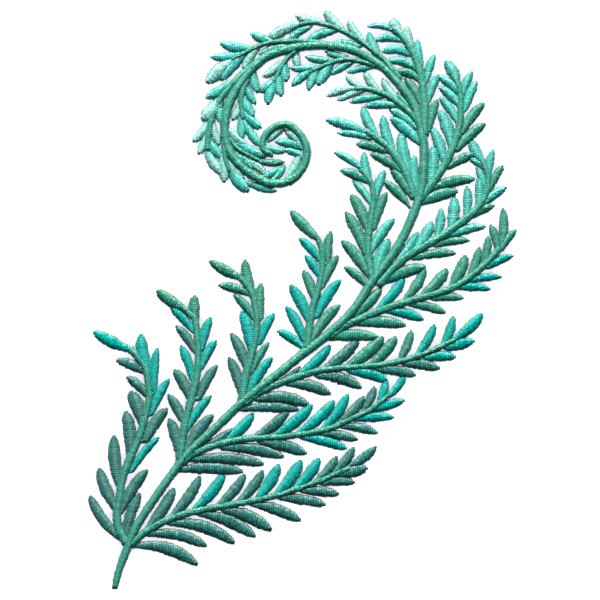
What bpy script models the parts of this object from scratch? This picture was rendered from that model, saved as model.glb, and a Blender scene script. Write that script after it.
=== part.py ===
"""A fern frond worked in satin stitch on a square of white cloth, lying flat with its back at z = 0.

The frond lies in the XY plane with its cut end towards -X, -Y and its curled tip towards +Y.
"""
import math

import bpy
import bmesh

# Sizes in metres. The frond was drawn over the picture: its points below are in picture pixels.
PIXEL = 0.00017             # one picture pixel, a guess: the frond then fills the common 100 mm hoop
PICTURE_CENTRE = 299.3      # picture column and row that lie at x = 0, y = 0
CLOTH_SIDE = 0.112          # side of the square of cloth
BACKING_SIDE = 0.104        # side of the stabiliser under it
BACKING_THICKNESS = 0.0006
CLOTH_THICKNESS = 0.0008
GAP = 0.0003                # air between a piece and the next one
STITCH_HEIGHT = 0.0008      # how far a stem's satin stitch stands up
LEAFLET_HEIGHT = 0.00062
TOP_SHARE = 0.72            # width of a ridge's flat top as a share of its foot
STEM_STEP = 11              # pixels between the stations of a stem
MIN_STEP = 5                # pixels between stations that were moved
SPRAY_CLEARANCE = 2.2       # pixels kept between a spray and the main stem

# Colours of the threads.
THREADS = {
    "stem_green": (0.078, 0.381, 0.242),
    "cloth_white": (0.90, 0.90, 0.90),
    "backing_white": (0.80, 0.80, 0.78),
}

# A stem is a list of points from its base to its tip, with its widths in pixels. A leaflet is
# root x, root y, tip x, tip y, thread, and where they are given its width and its bow: the bend
# of its middle towards the stem's tip in hundredths of its length. Threads: G grey green, S sea
# green, T turquoise, A aqua, M pale mint.
MAIN_STEM = {
    "width": [(0, 5), (0.03, 6.5), (0.3, 7.3), (0.6, 7), (0.85, 6.5), (1, 5)],
    "stem": [
        (114.5, 587), (116, 580), (118.5, 570), (126, 550), (134, 530), (144, 510), (157, 490),
        (171.5, 470), (188.5, 450), (205, 435), (220, 421), (240, 402), (260, 387), (280, 373),
        (300, 357), (320, 342), (340, 325), (350, 315), (360, 302), (370, 285), (380, 271), (390, 256),
        (400, 240), (410, 219), (418, 200), (423, 180), (424, 150), (423, 140), (420, 125), (416, 110),
        (411, 98), (405, 89), (398, 80), (384, 66), (368, 56), (350, 49), (330, 46), (310, 45.5),
        (290, 49), (270, 55), (255, 66), (243, 80), (233, 95), (226, 114), (225, 135), (231, 154),
        (245, 170), (265, 182), (275, 183.5), (285, 182), (294, 177), (301, 169), (305, 160),
        (306, 150), (303, 141), (298, 133), (291, 127), (283, 124.5), (275, 127), (268, 132),
        (264, 138), (262.5, 145), (265, 151), (271, 154)],
    "leaflets": [
        (252, 67, 257, 91, "A", 8), (262, 178, 278, 169, "A"), (273, 180, 284, 166, "A"),
        (287, 178, 299, 156, "M"), (302, 156, 285, 150, "A"), (303, 148, 277, 142, "A"),
        (302, 147, 286, 131, "M"), (282, 129, 269, 141, "M"), (265, 147, 284, 151, "A")],
}

# Sprays at the sides of the main stem: left is the frond's left, seen with the cut end down.
SPRAYS = {
    "left_1": {
        "width": (7, 4),
        "stem": [
            (126, 543), (119, 530), (117, 520), (117, 510), (119, 500), (122, 480), (129, 460),
            (138, 440), (144, 420), (149, 400), (149, 390), (146, 370), (138, 358), (131, 350)],
        "leaflets": [
            (123, 541, 89, 498, "G", 9, -8), (118, 512, 101, 470, "G"), (120, 488, 113, 437, "G", 10),
            (130, 458, 127, 413, "G", 11), (142, 424, 131, 393, "G", 12), (147, 396, 128, 379, "G", 7),
            (143, 372, 118, 362, "G", 8), (131, 350, 95, 333, "T"), (126, 534, 139, 495, "G"),
            (121, 512, 146, 471, "G", 10), (131, 470, 156, 438, "T"), (145, 440, 165, 409, "G"),
            (151, 413, 167, 380, "T"), (154, 392, 156, 350, "T", 9), (148, 370, 141, 335, "T", 12)],
    },
    "left_2": {
        "width": (7, 4),
        "stem": [
            (180, 460), (182, 440), (186, 420), (191, 400), (196, 380), (198, 360), (197.5, 340),
            (195, 320), (191, 315), (183, 308)],
        "leaflets": [
            (179, 453, 170, 420, "G", 10), (183, 419, 171, 396, "G"), (189, 396, 175, 371, "G", 10),
            (192, 379, 181, 347, "T"), (194, 350, 177, 327, "G", 7), (192, 330, 172, 309, "T", 6),
            (183, 308, 158, 292, "S", 9), (185, 448, 210, 414, "G", 10), (186, 432, 210, 397, "T"),
            (198, 398, 215, 366, "G"), (201, 368, 215, 342, "T"), (201, 348, 209, 318, "T"),
            (195, 322, 194, 297, "S", 9)],
    },
    "left_3": {
        "width": (7, 4),
        "stem": [
            (242, 400), (245, 380), (250, 360), (255, 340), (257, 320), (254, 300), (250, 290),
            (245, 283), (240, 278)],
        "leaflets": [
            (240, 396, 228, 359, "G"), (247, 370, 232, 335, "G"), (250, 352, 241, 313, "T", 11),
            (254, 318, 235, 296, "S"), (250, 294, 220, 285, "S", 7), (239, 277, 211, 262, "S", 8),
            (248, 392, 270, 358, "T"), (252, 372, 268, 344, "S", 7), (260, 342, 273, 315, "T"),
            (260, 318, 260, 285, "S"), (254, 297, 245, 261, "S")],
    },
    "left_4": {
        "width": (7, 4),
        "stem": [
            (307, 348), (309, 330), (312, 310), (318, 290), (322, 270), (322, 250), (318, 240)],
        "leaflets": [
            (304, 348, 279, 331, "T"), (304, 338, 288, 307, "T"), (308, 318, 292, 286, "T", 10),
            (314, 300, 304, 272, "S"), (320, 277, 306, 257, "T"), (320, 259, 301, 239, "T", 7),
            (318, 239, 292, 212, "S", 9), (311, 338, 337, 304, "S"), (316, 315, 338, 280, "T"),
            (322, 287, 337, 257, "S"), (328, 262, 330, 232, "S")],
    },
    "left_5": {
        "width": (7, 4),
        "stem": [
            (373, 280), (369, 260), (368, 240), (371, 220), (373.5, 200), (373, 190), (371, 183),
            (361, 169)],
        "leaflets": [
            (369, 284, 347, 266, "S"), (371, 277, 344, 241, "S", 10), (366, 252, 348, 213, "S"),
            (368, 228, 353, 196, "S", 10), (369, 203, 353, 183, "A", 7), (369, 182, 342, 171, "S"),
            (362, 169, 336, 153, "A", 7), (374, 275, 387, 240, "A", 10), (371, 252, 393, 220, "A"),
            (374, 228, 386, 194, "S"), (376, 198, 383, 174, "A"), (370, 182, 364, 154, "A", 8)],
    },
    "left_6": {
        "width": (7, 4),
        "stem": [
            (415, 198), (408, 177), (397, 158), (383, 143), (366, 131)],
        "leaflets": [
            (411, 206, 390, 183, "S"), (412, 198, 392, 170, "S"), (401, 171, 372, 154, "S"),
            (386, 150, 358, 143, "S"), (370, 138, 339, 133, "A", 7), (363, 130, 328, 119, "A", 9),
            (417, 190, 414, 157, "A"), (408, 170, 402, 142, "A", 10), (393, 150, 383, 117, "A"),
            (376, 135, 365, 112, "A")],
    },
    "left_7": {
        "width": (6, 4),
        "stem": [
            (420, 125), (414, 117), (400, 104), (384, 94), (368, 89), (354, 89)],
        "leaflets": [
            (420, 147, 395, 122, "A", 9), (416, 128, 391, 110, "A", 9), (397, 106, 367, 107, "A", 6),
            (381, 97, 352, 102, "A", 6), (363, 91, 339, 100, "M", 6), (355, 89, 328, 96, "M", 7),
            (410, 107, 398, 94, "A", 6), (396, 98, 383, 80, "M"), (379, 91, 366, 76, "M", 7),
            (362, 88, 347, 77, "M", 6)],
    },
    "top_1": {
        "width": (6, 4),
        "stem": [
            (424, 135), (425, 115), (424, 95), (421, 75), (414, 55), (403, 38), (392, 28)],
        "leaflets": [
            (420, 102, 408, 82, "S", 7), (418, 80, 407, 77, "S", 7), (415, 68, 400, 65, "A", 6),
            (409, 56, 384, 52, "A", 6), (400, 40, 381, 39, "A", 6), (393, 29, 370, 27, "M", 6),
            (429, 122, 437, 101, "S"), (428, 101, 438, 76, "A"), (427, 80, 434, 56, "A"),
            (421, 65, 418, 41, "A", 7), (412, 49, 407, 27, "M"), (401, 34, 394, 19, "M", 9)],
    },
    "right_1": {
        "width": (6, 4),
        "stem": [
            (131, 545), (143, 534), (160, 523.5), (180, 515.5), (200, 510.5), (230, 505), (260, 499.5),
            (280, 494.5), (300, 488), (320, 481), (340, 472), (350, 468)],
        "leaflets": [
            (143, 531, 171, 489, "G"), (168, 519, 198, 478, "G", 10), (193, 511, 221, 480, "T", 10),
            (217, 506, 241, 481, "G"), (238, 502, 261, 472, "G"), (257, 499, 278, 466, "T", 10),
            (277, 494, 300, 462, "T", 11), (296, 488, 318, 460, "T", 10), (317, 481, 336, 458, "G"),
            (334, 473, 353, 449, "G"), (351, 467, 376, 449, "G", 7), (135, 546, 196, 564, "G", 10, 9),
            (148, 536, 205, 547, "G", 10, 7), (170, 526, 233, 545, "G", 11, 8),
            (200, 516, 254, 538, "G", 11, 5), (227, 512, 270, 531, "G", 11, 5),
            (253, 505, 299, 520, "G", 10, 3), (280, 498, 324, 504, "G", 9, 1),
            (303, 491, 337, 494, "G", 9, 1), (322, 484, 353, 483, "G", 8, 1),
            (340, 476, 366, 470, "G", 10, -3)],
    },
    "right_2": {
        "width": (6, 4),
        "stem": [
            (183, 463), (192, 455), (210, 447), (230, 441.5), (250, 438.5), (280, 437), (310, 433),
            (330, 428.5), (350, 419.5), (370, 410), (388, 396)],
        "leaflets": [
            (203, 447, 231, 430, "G", 7), (226, 441, 252, 415, "T", 10), (255, 437, 283, 417, "G"),
            (274, 436, 309, 410, "T"), (300, 432, 333, 402, "T"), (324, 428, 347, 396, "T"),
            (340, 422, 363, 398, "G"), (364, 410, 374, 388, "G"), (379, 402, 385, 388, "T"),
            (389, 396, 401, 384, "T"), (178, 471, 241, 472, "G", 10, 2),
            (187, 461, 262, 464, "G", 10, 3), (222, 450, 282, 458, "G", 10, 3),
            (260, 443, 305, 454, "G", 10, 2), (302, 438, 345, 448, "T", 9, 1),
            (320, 435, 356, 441, "G", 8, 2), (342, 428, 376, 434, "G", 8, 3),
            (357, 421, 392, 419, "T", 8, 2), (374, 411, 403, 402, "T", 8, -2)],
    },
    "right_3": {
        "width": (6, 4),
        "stem": [
            (245, 404), (260, 392), (280, 383), (300, 376), (320, 370.5), (340, 368), (370, 366),
            (390, 363.5), (410, 358.5), (430, 351.5), (450, 342), (456, 339)],
        "leaflets": [
            (272, 386, 299, 368, "S", 5), (299, 375, 329, 347, "T"), (324, 369, 352, 347, "G", 10),
            (348, 366, 379, 345, "S", 11), (373, 363, 395, 338, "S", 10), (400, 359, 411, 332, "S"),
            (418, 354, 434, 326, "T"), (443, 346, 453, 318, "T"), (456, 338, 481, 315, "T", 10),
            (240, 410, 288, 410, "G", 8, 2), (258, 400, 302, 403, "G", 10, 3),
            (288, 386, 329, 395, "G", 10, 2), (318, 378, 360, 388, "G", 10, 2),
            (350, 372, 382, 380, "T", 10, 1), (375, 370, 414, 377, "G", 9, 2),
            (405, 365, 438, 369, "G", 9, 2), (427, 359, 454, 358, "T", 9, 1),
            (447, 349, 473, 342, "T", 9, -2)],
    },
    "right_4": {
        "width": (6, 4),
        "stem": [
            (330, 337), (345, 326), (360, 319), (380, 311), (400, 304), (420, 298), (440, 292.5),
            (460, 284), (480, 269), (495, 254), (500, 247)],
        "leaflets": [
            (350, 318, 380, 289, "S"), (378, 309, 400, 286, "T"), (404, 299, 420, 278, "S"),
            (424, 296, 447, 271, "S", 10), (452, 285, 465, 257, "S", 10), (470, 275, 479, 249, "S"),
            (483, 265, 488, 238, "S"), (498, 250, 491, 226, "S"), (501, 247, 503, 210, "S", 8),
            (501, 250, 515, 231, "S", 7), (328, 338, 371, 336, "S"), (350, 325, 404, 326, "S"),
            (387, 311, 422, 319, "T", 9), (409, 303, 444, 311, "S", 7), (433, 298, 462, 297, "S", 6),
            (455, 288, 489, 289, "T"), (469, 281, 500, 277, "T"), (488, 267, 512, 256, "T", 7)],
    },
    "right_5": {
        "width": (6, 4),
        "stem": [
            (383, 280), (390, 272), (405, 258), (425, 246), (445, 234), (465, 218), (479, 204),
            (487, 188), (488, 174), (482, 161)],
        "leaflets": [
            (397, 261, 417, 234, "A"), (414, 252, 431, 223, "A", 10), (436, 239, 441, 210, "A"),
            (451, 228, 454, 204, "A", 10), (466, 216, 467, 193, "A", 8), (478, 206, 479, 178, "A"),
            (484, 184, 477, 169, "A", 6), (483, 167, 470, 159, "A", 6), (482, 161, 473, 146, "A", 9),
            (383, 281, 425, 265, "S"), (414, 257, 454, 252, "S"), (436, 244, 468, 239, "S", 7),
            (451, 234, 484, 225, "A", 7), (469, 218, 493, 206, "S", 7), (483, 205, 505, 188, "A"),
            (489, 191, 502, 167, "S"), (489, 175, 493, 151, "A", 7)],
    },
    "right_6": {
        "width": (6, 4),
        "stem": [
            (420, 200), (432, 184), (444, 166), (453, 147), (459, 127), (461, 107), (460, 90), (455, 77)],
        "leaflets": [
            (431, 184, 434, 148, "A"), (445, 164, 437, 143, "A"), (453, 146, 442, 112, "A", 10),
            (458, 122, 442, 99, "A"), (459, 104, 441, 87, "A", 7), (459, 92, 444, 78, "A", 6),
            (457, 80, 448, 62, "A", 10), (420, 204, 456, 192, "S", 10), (433, 190, 473, 181, "S"),
            (449, 167, 470, 157, "S", 6), (457, 148, 483, 124, "S"), (461, 131, 481, 103, "S"),
            (464, 109, 475, 82, "A"), (462, 93, 470, 73, "A")],
    },
}

# Small arching sprays round the curled tip; in the picture they cross the main stem and one
# another, so they are fused with it.
ARCHES = {
    "arch_2": {
        "width": (6, 4),
        "stem": [
            (400, 79), (385, 61), (370, 48), (354, 37), (335, 27.5), (315, 22.5), (299, 24.5)],
        "leaflets": [
            (380, 58, 369, 34, "A"), (363, 41, 349, 22, "M", 7), (341, 28, 326, 12, "M", 8),
            (319, 22, 297, 16, "M", 7), (299, 24, 270, 38, "M", 9), (358, 46, 333, 43, "A", 6),
            (334, 31, 309, 39, "A", 7), (309, 27, 290, 39, "A", 6)],
    },
    "arch_3": {
        "width": (6, 4),
        "stem": [
            (330, 45), (310, 41.5), (290, 41), (270, 42.5), (254, 48), (231, 60)],
        "leaflets": [
            (272, 41, 252, 34, "A", 7), (250, 48, 222, 44, "A", 8), (241, 54, 212, 57, "A", 7),
            (234, 60, 208, 80, "M", 12), (286, 46, 260, 54, "A", 6), (256, 50, 244, 68, "M"),
            (241, 58, 222, 79, "A", 9)],
    },
    "arch_4": {
        "width": (6, 4),
        "stem": [
            (256, 63), (242, 74), (229, 88), (218, 103), (211, 121), (207.5, 141), (208, 150)],
        "leaflets": [
            (231, 82, 207, 97, "A"), (219, 101, 203, 119, "M", 12), (209, 121, 194, 141, "M", 7),
            (207, 135, 199, 153, "M", 7), (207, 151, 221, 173, "M"), (219, 103, 221, 122, "A"),
            (212, 120, 219, 144, "M", 6), (209, 141, 221, 157, "A", 8)],
    },
    "arch_5": {
        "width": (6, 4),
        "stem": [
            (224, 140), (225, 158), (230, 171)],
        "leaflets": [
            (231, 172, 246, 192, "A", 10), (222, 158, 224, 181, "M", 8), (229, 163, 243, 178, "M"),
            (241, 178, 275, 190, "A", 6)],
    },
    "arch_6": {
        "width": (5, 4),
        "stem": [
            (229, 138), (238, 149), (258, 160)],
        "leaflets": [
            (230, 131, 246, 145, "M"), (240, 146, 266, 157, "A", 7), (258, 161, 283, 162, "S", 6),
            (237, 156, 253, 168, "A"), (250, 162, 265, 174, "M")],
    },
    "arch_7": {
        "width": (5, 4),
        "stem": [
            (247, 78), (242, 92), (241, 106), (243, 119)],
        "leaflets": [
            (246, 85, 255, 103, "A", 6), (244, 100, 253, 116, "A", 8), (244, 113, 260, 127, "A", 8),
            (243, 119, 260, 145, "A", 7), (241, 118, 240, 140, "A", 7), (240, 103, 233, 119, "M")],
    },
    "arch_8": {
        "width": (5, 4),
        "stem": [
            (298, 49), (286, 60), (274, 82)],
        "leaflets": [
            (280, 64, 264, 76, "M"), (275, 79, 262, 90, "A"), (273, 84, 268, 103, "A", 8),
            (296, 53, 297, 62, "M"), (284, 64, 286, 80, "A", 8), (278, 76, 281, 95, "A", 8)],
    },
    "arch_9": {
        "width": (5, 4),
        "stem": [
            (376, 66), (360, 61), (344, 59.5), (328, 64), (312, 71)],
        "leaflets": [
            (346, 57, 327, 52, "A", 6), (328, 60, 307, 57, "A", 6), (315, 67, 291, 68, "A", 6),
            (311, 71, 293, 85, "A", 7), (373, 67, 349, 72, "A", 6), (351, 63, 332, 74, "A", 6),
            (330, 66, 319, 84, "A", 9), (318, 69, 309, 89, "A", 7)],
    },
}


def smooth(points, step):
    """Points about one step apart along a smooth curve through the given points."""
    line = []
    ends = [points[0]] + points + [points[-1]]
    for i in range(1, len(ends) - 2):
        around = ends[i - 1:i + 3]
        pieces = max(1, round(math.dist(around[1], around[2]) / step))
        for j in range(pieces):
            t = j / pieces
            line.append(tuple(
                0.5 * (2 * b + (c - a) * t + (2 * a - 5 * b + 4 * c - d) * t * t
                       + (3 * b - a - 3 * c + d) * t ** 3)
                for a, b, c, d in zip(*around)))
    line.append(points[-1])
    return line


def width_along(widths, share):
    """Width at a share of a stem's length; widths are (share, width) pairs."""
    for (s0, w0), (s1, w1) in zip(widths, widths[1:]):
        if share <= s1:
            return w0 + (w1 - w0) * (share - s0) / (s1 - s0)
    return widths[-1][1]


def stem_stations(stem, widths):
    """Points (x, y, width) along a stem."""
    line = smooth(stem, STEM_STEP)
    last = len(line) - 1
    return [(x, y, width_along(widths, i / last)) for i, (x, y) in enumerate(line)]


def leaflet_stations(leaflet, line):
    """Points (x, y, width) along a leaflet, from inside the stem with this line to its tip."""
    root_x, root_y, tip_x, tip_y = leaflet[:4]
    length = math.dist((root_x, root_y), (tip_x, tip_y))
    width = leaflet[5] if len(leaflet) > 5 else min(11, max(6, 0.12 * length + 4.5))
    bow = (leaflet[6] if len(leaflet) > 6 else -2) / 50 * length
    near = min(range(len(line)), key=lambda k: math.dist((root_x, root_y), line[k]))
    behind = line[max(near - 1, 0)]
    ahead = line[min(near + 1, len(line) - 1)]
    side_x = -(tip_y - root_y) / length
    side_y = (tip_x - root_x) / length
    if side_x * (ahead[0] - behind[0]) + side_y * (ahead[1] - behind[1]) < 0:
        side_x, side_y = -side_x, -side_y
    mid_x = (root_x + tip_x) / 2 + side_x * bow
    mid_y = (root_y + tip_y) / 2 + side_y * bow
    stations = [(line[near][0], line[near][1], 4)]
    for share, part in ((0.35, 0.85), (0.72, 0.96), (1, 0.45)):
        a, b, c = (1 - share) ** 2, 2 * share * (1 - share), share ** 2
        stations.append((a * root_x + b * mid_x + c * tip_x, a * root_y + b * mid_y + c * tip_y,
                         max(width * part, 3.6)))
    return stations


def kept_clear(stations, main_line):
    """The same stations, moved off the main stem sideways where they would come too near it."""
    clear = []
    for x, y, width in stations:
        near = min(range(len(main_line)), key=lambda k: math.dist((x, y), main_line[k][:2]))
        near_x, near_y, near_width = main_line[near]
        away = math.dist((x, y), (near_x, near_y))
        need = near_width / 2 + width / 2 + SPRAY_CLEARANCE
        if away < need:
            behind = main_line[max(near - 1, 0)]
            ahead = main_line[min(near + 1, len(main_line) - 1)]
            along = math.dist(behind[:2], ahead[:2])
            side_x = -(ahead[1] - behind[1]) / along
            side_y = (ahead[0] - behind[0]) / along
            middle = stations[len(stations) // 2]
            side = math.copysign(1, side_x * (middle[0] - near_x) + side_y * (middle[1] - near_y))
            x, y = near_x + side * side_x * need, near_y + side * side_y * need
        if not clear or math.dist(clear[-1][:2], (x, y)) > MIN_STEP:
            clear.append((x, y, width))
    return clear


def ridge(name, stations, foot, height):
    """A satin stitch ridge through the stations: a bevelled curve, made a mesh, flat underneath."""
    profile_curve = bpy.data.curves.new(name + "_profile", "CURVE")
    profile_curve.dimensions = "2D"
    outline = profile_curve.splines.new("POLY")
    outline.points.add(3)
    corners = ((-0.5, -0.1), (0.5, -0.1), (0.5 * TOP_SHARE, 0.1), (-0.5 * TOP_SHARE, 0.1))
    for point, (across, up) in zip(outline.points, corners):
        point.co = (across, up, 0, 1)
    outline.use_cyclic_u = True
    profile = bpy.data.objects.new(name + "_profile", profile_curve)
    bpy.context.scene.collection.objects.link(profile)

    curve = bpy.data.curves.new(name + "_line", "CURVE")
    curve.dimensions = "3D"
    curve.twist_mode = "Z_UP"
    curve.bevel_mode = "OBJECT"
    curve.bevel_object = profile
    curve.use_fill_caps = True
    spline = curve.splines.new("POLY")
    spline.points.add(len(stations) - 1)
    for point, (x, y, width) in zip(spline.points, stations):
        point.co = ((x - PICTURE_CENTRE) * PIXEL, (PICTURE_CENTRE - y) * PIXEL, 0, 1)
        point.radius = width * PIXEL
    column = bpy.data.objects.new(name + "_line", curve)
    bpy.context.scene.collection.objects.link(column)

    depsgraph = bpy.context.evaluated_depsgraph_get()
    mesh = bpy.data.meshes.new_from_object(column.evaluated_get(depsgraph))
    bpy.data.objects.remove(column)
    bpy.data.objects.remove(profile)
    shell = bmesh.new()
    shell.from_mesh(mesh)
    bmesh.ops.remove_doubles(shell, verts=shell.verts, dist=0.000001)
    for vert in shell.verts:
        vert.co.z = foot + height if vert.co.z > 0 else foot
    bmesh.ops.recalc_face_normals(shell, faces=shell.faces)
    shell.to_mesh(mesh)
    shell.free()
    return bpy.data.objects.new(name, mesh)


def fused(name, ridges, material):
    """One solid object joined from all the ridges."""
    group = bpy.data.collections.new(name + "_parts")
    bpy.context.scene.collection.children.link(group)
    for part in ridges[1:]:
        group.objects.link(part)
    whole = ridges[0]
    whole.name = name
    bpy.context.scene.collection.objects.link(whole)
    union = whole.modifiers.new("union", "BOOLEAN")
    union.operation = "UNION"
    union.operand_type = "COLLECTION"
    union.collection = group
    union.solver = "EXACT"
    bpy.context.view_layer.objects.active = whole
    bpy.ops.object.modifier_apply(modifier="union")
    for part in ridges[1:]:
        bpy.data.objects.remove(part)
    bpy.data.collections.remove(group)
    whole.data.materials.clear()
    whole.data.materials.append(material)
    return whole


def sheet(name, side, bottom, thickness, material):
    """A square sheet lying flat."""
    bpy.ops.mesh.primitive_cube_add(size=1, location=(0, 0, bottom + thickness / 2))
    board = bpy.context.object
    board.name = name
    board.data.name = name
    board.scale = (side, side, thickness)
    bpy.ops.object.transform_apply(location=False, rotation=False, scale=True)
    board.data.materials.append(material)


def thread_material(name):
    """A plain material in one of the colours above."""
    material = bpy.data.materials.new(name)
    material.use_nodes = True
    shader = material.node_tree.nodes["Principled BSDF"]
    shader.inputs["Base Color"].default_value = (*THREADS[name], 1)
    shader.inputs["Roughness"].default_value = 0.6
    return material


for old in list(bpy.data.objects):
    bpy.data.objects.remove(old)

stem_green = thread_material("stem_green")
cloth_white = thread_material("cloth_white")
backing_white = thread_material("backing_white")

# Backing and cloth, from the table up.
sheet("backing", BACKING_SIDE, 0, BACKING_THICKNESS, backing_white)
cloth_bottom = BACKING_THICKNESS + GAP
sheet("ground_cloth", CLOTH_SIDE, cloth_bottom, CLOTH_THICKNESS, cloth_white)
foot = cloth_bottom + CLOTH_THICKNESS + GAP

# The main stem with its curled tip, and the small arches that cross it.
main_line = stem_stations(MAIN_STEM["stem"], MAIN_STEM["width"])
ridges = [ridge("stem", main_line, foot, STITCH_HEIGHT)]
for spray in [MAIN_STEM] + list(ARCHES.values()):
    widths = spray["width"]
    if spray is not MAIN_STEM:
        widths = [(0, widths[0]), (1, widths[1])]
        arch_line = stem_stations(spray["stem"], widths)
        ridges.append(ridge("arch", arch_line, foot + 0.00003, STITCH_HEIGHT - 0.00007))
    fine_line = smooth(spray["stem"], 2)
    for i, leaflet in enumerate(spray["leaflets"]):
        lift = 0.00003 * (1 + i % 5)
        ridges.append(ridge("leaflet", leaflet_stations(leaflet, fine_line), foot + lift, LEAFLET_HEIGHT))
fused("main_stem", ridges, stem_green)

# The leafy sprays at its sides.
for spray_name, spray in SPRAYS.items():
    widths = [(0, spray["width"][0]), (1, spray["width"][1])]
    stem = kept_clear(stem_stations(spray["stem"], widths), main_line)
    ridges = [ridge("stem", stem, foot, STITCH_HEIGHT)]
    clear_line = smooth([(x, y) for x, y, width in stem], 2)
    for i, leaflet in enumerate(spray["leaflets"]):
        lift = 0.00003 * (1 + i % 5)
        stations = leaflet_stations(leaflet, clear_line)
        stations = stations[:1] + kept_clear(stations[1:], main_line)
        ridges.append(ridge("leaflet", stations, foot + lift, LEAFLET_HEIGHT))
    fused("spray_" + spray_name, ridges, stem_green)
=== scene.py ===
import math

import bpy
import numpy as np
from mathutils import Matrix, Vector
from mathutils.kdtree import KDTree


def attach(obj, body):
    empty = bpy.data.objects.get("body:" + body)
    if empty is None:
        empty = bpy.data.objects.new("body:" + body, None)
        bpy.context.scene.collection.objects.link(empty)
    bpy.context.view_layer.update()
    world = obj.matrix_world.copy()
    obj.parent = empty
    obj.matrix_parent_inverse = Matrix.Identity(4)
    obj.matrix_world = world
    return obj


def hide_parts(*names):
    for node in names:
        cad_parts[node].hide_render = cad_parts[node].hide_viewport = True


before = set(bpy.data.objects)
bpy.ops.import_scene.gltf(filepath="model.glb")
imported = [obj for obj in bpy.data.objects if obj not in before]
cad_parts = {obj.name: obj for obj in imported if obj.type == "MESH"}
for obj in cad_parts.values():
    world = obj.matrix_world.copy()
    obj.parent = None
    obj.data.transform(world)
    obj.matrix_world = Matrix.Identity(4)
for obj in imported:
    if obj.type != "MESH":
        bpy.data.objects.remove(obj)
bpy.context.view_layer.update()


# Camera and light
# Seen from straight above through a long lens. One raking lamp beyond the top edge lights the threads
# without reflections, another gives only their gloss, and three more light only the cloth and the
# floor. A weak cool sky fills the shadows.
bpy.ops.object.select_all(action="DESELECT")
PIXEL = 0.00017             # the frond's points below are in picture pixels of this size in metres
PICTURE_CENTRE = 299.3      # picture column and row at x = 0, y = 0
PICTURE_SIDE = 600 * PIXEL
FRAMED_LEVEL = 0.002        # the height at which the picture's frame is exactly that wide

lens = bpy.data.cameras.new("picture_camera")
lens.lens = 135
lens.sensor_width = 36
lens.clip_start = 0.01
camera = bpy.data.objects.new("picture_camera", lens)
bpy.context.scene.collection.objects.link(camera)
off_centre = (300 - PICTURE_CENTRE) * PIXEL
camera.location = (off_centre, -off_centre,
                   FRAMED_LEVEL + PICTURE_SIDE * lens.lens / lens.sensor_width)
bpy.context.scene.camera = camera

thread_pieces = bpy.data.collections.new("thread_pieces")       # what the two raking lamps light
cloth_pieces = bpy.data.collections.new("cloth_pieces")         # what the three other lamps light


def lamp(name, place, side, power, color, lit):
    """A round lamp that points at the middle of the cloth and lights only that collection."""
    light = bpy.data.lights.new(name, "AREA")
    light.shape = "DISK"
    light.size = side
    light.energy = power
    light.color = color
    holder = bpy.data.objects.new(name, light)
    holder.location = place
    holder.rotation_euler = (-Vector(place)).to_track_quat("-Z", "Y").to_euler()
    holder.light_linking.receiver_collection = lit
    bpy.context.scene.collection.objects.link(holder)
    return holder


key = lamp("key_lamp", (-0.03, 0.73, 0.26), 0.34, 19.0, (1.0, 0.98, 0.92), thread_pieces)
key.visible_glossy = False
glint = lamp("low_glint", (0.0, 0.66, 0.42), 0.26, 25.0, (1.0, 0.98, 0.88), thread_pieces)
glint.visible_diffuse = False
lamp("cloth_lamp", (0.0, 0.10, 0.78), 0.50, 10.0, (1.0, 0.99, 1.0), cloth_pieces)
lamp("cloth_left_lamp", (-0.60, -0.50, 0.20), 0.40, 3.0, (1.0, 1.0, 1.0), cloth_pieces)
lamp("cloth_right_lamp", (0.60, -0.50, 0.20), 0.40, 3.0, (1.0, 1.0, 1.0), cloth_pieces)
sky = bpy.data.worlds.new("studio")
sky.use_nodes = True
sky.node_tree.nodes["Background"].inputs["Color"].default_value = (0.55, 0.90, 1.0, 1)
sky.node_tree.nodes["Background"].inputs["Strength"].default_value = 0.17
bpy.context.scene.world = sky
bpy.context.scene.view_settings.view_transform = "Standard"

# Floor
# A plain pale studio floor, just under the backing. It is not part of the piece.
bpy.ops.mesh.primitive_plane_add(size=3, location=(0, 0, -0.0001))
floor = bpy.context.object
floor.name = "studio_floor"
floor_paint = bpy.data.materials.new("studio_floor")
floor_paint.use_nodes = True
floor_shader = floor_paint.node_tree.nodes["Principled BSDF"]
floor_shader.inputs["Base Color"].default_value = (0.42, 0.42, 0.42, 1)
floor_shader.inputs["Roughness"].default_value = 0.85
floor.data.materials.append(floor_paint)
floor.visible_diffuse = False
cloth_pieces.objects.link(floor)


# Embroidery threads
# Shiny rayon in five colours, and white thread for the bobbin. The gloss wavers along each stitch with
# the twist of the thread, and the dye varies a little from stitch to stitch. Painted shade darkens each
# thread at its sides, and darkens stitches that run in line with the lamp. A faint painted highlight lies
# along each thread's middle, the stems are painted lighter, and painted rim light and shade turns a
# thread's colour to olive where it goes into the cloth.
# Painted rim light and shade: towards both ends of each stitch, where it bends down into the cloth, its
# colour is mixed towards this dark olive.
PAINTED_RIM_COLOR = (0.15, 0.19, 0.060)


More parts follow.
